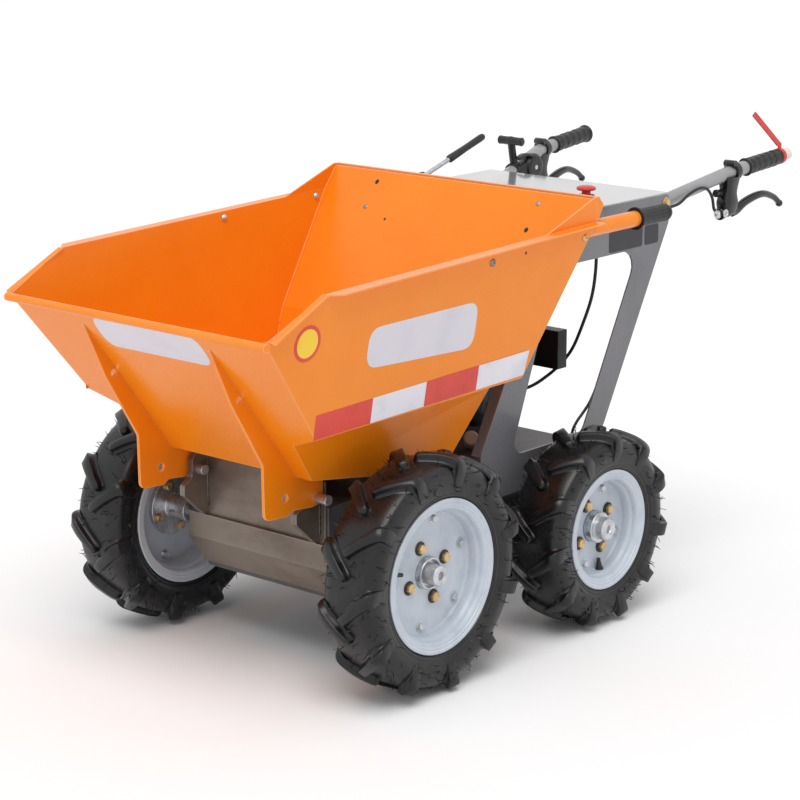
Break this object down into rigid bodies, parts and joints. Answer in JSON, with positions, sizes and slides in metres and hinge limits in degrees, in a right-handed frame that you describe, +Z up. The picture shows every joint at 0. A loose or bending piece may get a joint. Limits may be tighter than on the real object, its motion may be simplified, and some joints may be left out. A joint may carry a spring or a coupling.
{
  "type": "walk-behind site dumper",
  "caption": "Walk-behind wheeled site dumper with a front-tipping steel skip, petrol engine, side frames, console and rear handlebars.",
  "frame": {"origin": "centre of the machine's bounding box, on the ground plane that the tyres stand on", "axes": "+Z up, -Y towards the skip's lip (forward), +X towards the machine's left side"},
  "size_m": [0.772, 1.6932, 0.952],
  "materials": {
    "skip_paint": "gloss powder coat over sheet steel",
    "frame_paint": "satin grey powder coat",
    "bare_steel": "bare mill-scale steel with weld marks",
    "cast_metal": "cast, painted dull grey",
    "zinc_steel": "zinc plated",
    "rim_paint": "semi-gloss pale blue-grey paint",
    "tyre_rubber": "black rubber with tractor tread",
    "black_rubber": "ribbed soft rubber",
    "black_plastic": "moulded, fine texture",
    "red_plastic": "glossy moulded",
    "engine_paint": "satin black",
    "cable_sleeve": "smooth black cable sleeve"
  },
  "bodies": {
    "chassis": {"axle_front": "zinc_steel", "axle_rear": "zinc_steel", "chassis": "frame_paint", "side_frame_left": "frame_paint", "side_frame_right": "frame_paint", "console_cover": "frame_paint", "handlebar_left": "frame_paint", "handlebar_right": "frame_paint", "gearbox": "cast_metal", "front_plate": "bare_steel", "pivot_gusset_left": "bare_steel", "pivot_gusset_right": "bare_steel", "front_guard": "bare_steel", "pivot_pin_left": "zinc_steel", "pivot_pin_right": "zinc_steel", "gear_lever": "zinc_steel", "handlebar_grip_left": "black_rubber", "handlebar_grip_right": "black_rubber", "brake_lever_left": "black_plastic", "brake_lever_right": "black_plastic", "gear_lever_grip": "black_plastic", "starter_handle": "black_plastic", "throttle_housing": "black_plastic", "air_filter_box": "black_plastic", "fuel_tank": "black_plastic", "red_stop_lever": "red_plastic", "stop_button": "red_plastic", "engine_block": "engine_paint", "recoil_housing": "engine_paint", "brake_cable_left": "cable_sleeve", "throttle_cable": "cable_sleeve", "drive_cable": "cable_sleeve"},
    "skip": {"skip_tub": "skip_paint", "skip_rib_left": "skip_paint", "skip_rib_right": "skip_paint", "lift_tube_left": "skip_paint", "lift_tube_right": "skip_paint", "lift_grip_left": "black_rubber", "lift_grip_right": "black_rubber"},
    "wheel_front_left": {"tyre_front_left": "tyre_rubber", "rim_front_left": "rim_paint", "hub_front_left": "zinc_steel"},
    "wheel_front_right": {"tyre_front_right": "tyre_rubber", "rim_front_right": "rim_paint", "hub_front_right": "zinc_steel"},
    "wheel_rear_left": {"tyre_rear_left": "tyre_rubber", "rim_rear_left": "rim_paint", "hub_rear_left": "zinc_steel"},
    "wheel_rear_right": {"tyre_rear_right": "tyre_rubber", "rim_rear_right": "rim_paint", "hub_rear_right": "zinc_steel"}
  },
  "joints": [
    {"name": "skip_tip", "type": "hinge", "parent": "chassis", "child": "skip", "pos_m": [0, -0.53958, 0.36], "axis": [1, 0, 0], "range_deg": [0, 80]},
    {"name": "wheel_front_left_roll", "type": "hinge", "parent": "chassis", "child": "wheel_front_left", "pos_m": [0.326, -0.43458, 0.228], "axis": [1, 0, 0], "continuous": true},
    {"name": "wheel_front_right_roll", "type": "hinge", "parent": "chassis", "child": "wheel_front_right", "pos_m": [-0.326, -0.43458, 0.228], "axis": [1, 0, 0], "continuous": true},
    {"name": "wheel_rear_left_roll", "type": "hinge", "parent": "chassis", "child": "wheel_rear_left", "pos_m": [0.326, 0.07742, 0.199], "axis": [1, 0, 0], "continuous": true},
    {"name": "wheel_rear_right_roll", "type": "hinge", "parent": "chassis", "child": "wheel_rear_right", "pos_m": [-0.326, 0.07742, 0.199], "axis": [1, 0, 0], "continuous": true}
  ]
}
